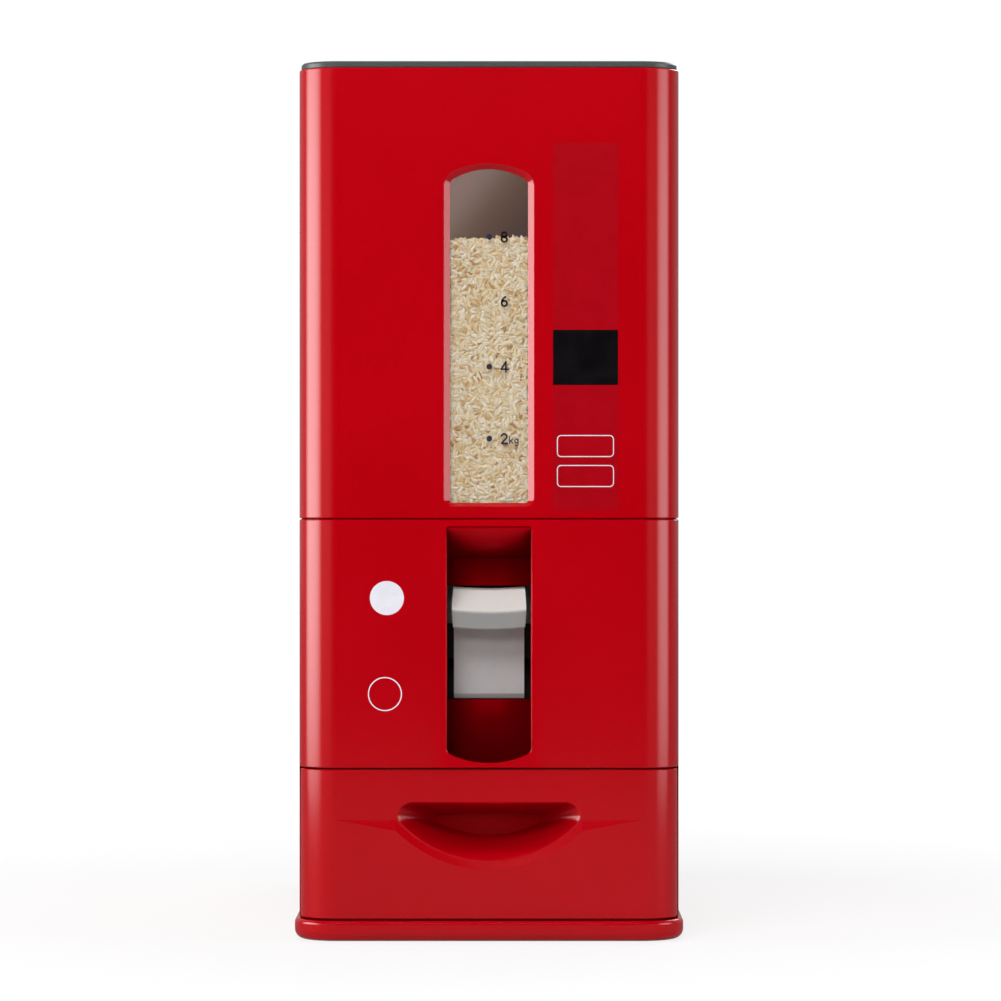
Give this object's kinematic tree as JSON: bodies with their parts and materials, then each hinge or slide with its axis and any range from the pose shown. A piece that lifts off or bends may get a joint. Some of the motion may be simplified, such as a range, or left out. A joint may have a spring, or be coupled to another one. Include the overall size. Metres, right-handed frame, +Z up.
{
  "type": "rice storage container",
  "caption": "Tall two-tier rice bin with a kilogram window, a push-down measuring lever that turns an inner metering drum, a hinged lid and a pull-out drawer",
  "frame": {"origin": "middle of the footprint, on the table", "axes": "+Z up, the front faces -Y, +X to the right"},
  "size_m": [0.2, 0.3788, 0.45],
  "materials": {
    "red_abs": "gloss moulded",
    "slate_abs": "satin moulded",
    "lever_abs": "satin moulded",
    "grey_pp": "moulded, translucent",
    "white_pom": "moulded",
    "black_pom": "moulded",
    "clear_plastic": "clear moulded",
    "rice": "loose grain",
    "steel": "zinc plated",
    "foot_rubber": "moulded"
  },
  "bodies": {
    "housing": {"base_tray": "red_abs", "rubber_feet": "foot_rubber", "base_screws": "steel", "lower_casing": "red_abs", "inner_frame": "grey_pp", "meter_housing": "grey_pp", "meter_cradle": "grey_pp", "housing_screws": "steel", "hopper": "grey_pp", "return_springs": "steel", "upper_casing": "red_abs", "window_pane": "clear_plastic", "rice_tank": "grey_pp", "rice_fill": "rice", "lid_rear": "slate_abs", "lid_hinge_pins": "steel", "drawer_runners": "white_pom"},
    "lid": {"lid_flap": "slate_abs"},
    "lever": {"measuring_lever": "lever_abs", "lever_carriage": "black_pom", "lever_screws": "steel"},
    "drum": {"metering_drum": "white_pom", "drum_end_right": "white_pom", "drum_end_left": "white_pom"},
    "drawer": {"drawer_front": "red_abs", "drawer_box": "grey_pp", "drawer_screws": "steel"}
  },
  "joints": [
    {"name": "lid_hinge", "type": "hinge", "parent": "housing", "child": "lid", "pos_m": [0, 0.125, 0.4467], "axis": [-1, 0, 0], "range_deg": [0, 100]},
    {"name": "lever_slide", "type": "slide", "parent": "housing", "child": "lever", "axis": [0, 0, -1], "range_m": [0, 0.032], "stiffness_N_per_m": 120, "springref_m": -0.02, "deforming": ["return_springs"]},
    {"name": "drum_turn", "type": "hinge", "parent": "housing", "child": "drum", "pos_m": [0, -0.125, 0.122], "axis": [1, 0, 0], "range_deg": [0, 152.8]},
    {"name": "drawer_slide", "type": "slide", "parent": "housing", "child": "drawer", "axis": [0, -1, 0], "range_m": [0, 0.2]}
  ],
  "couplings": [
    {"joint": "drum_turn", "follows": "lever_slide", "rad_per_m": 83.333}
  ]
}
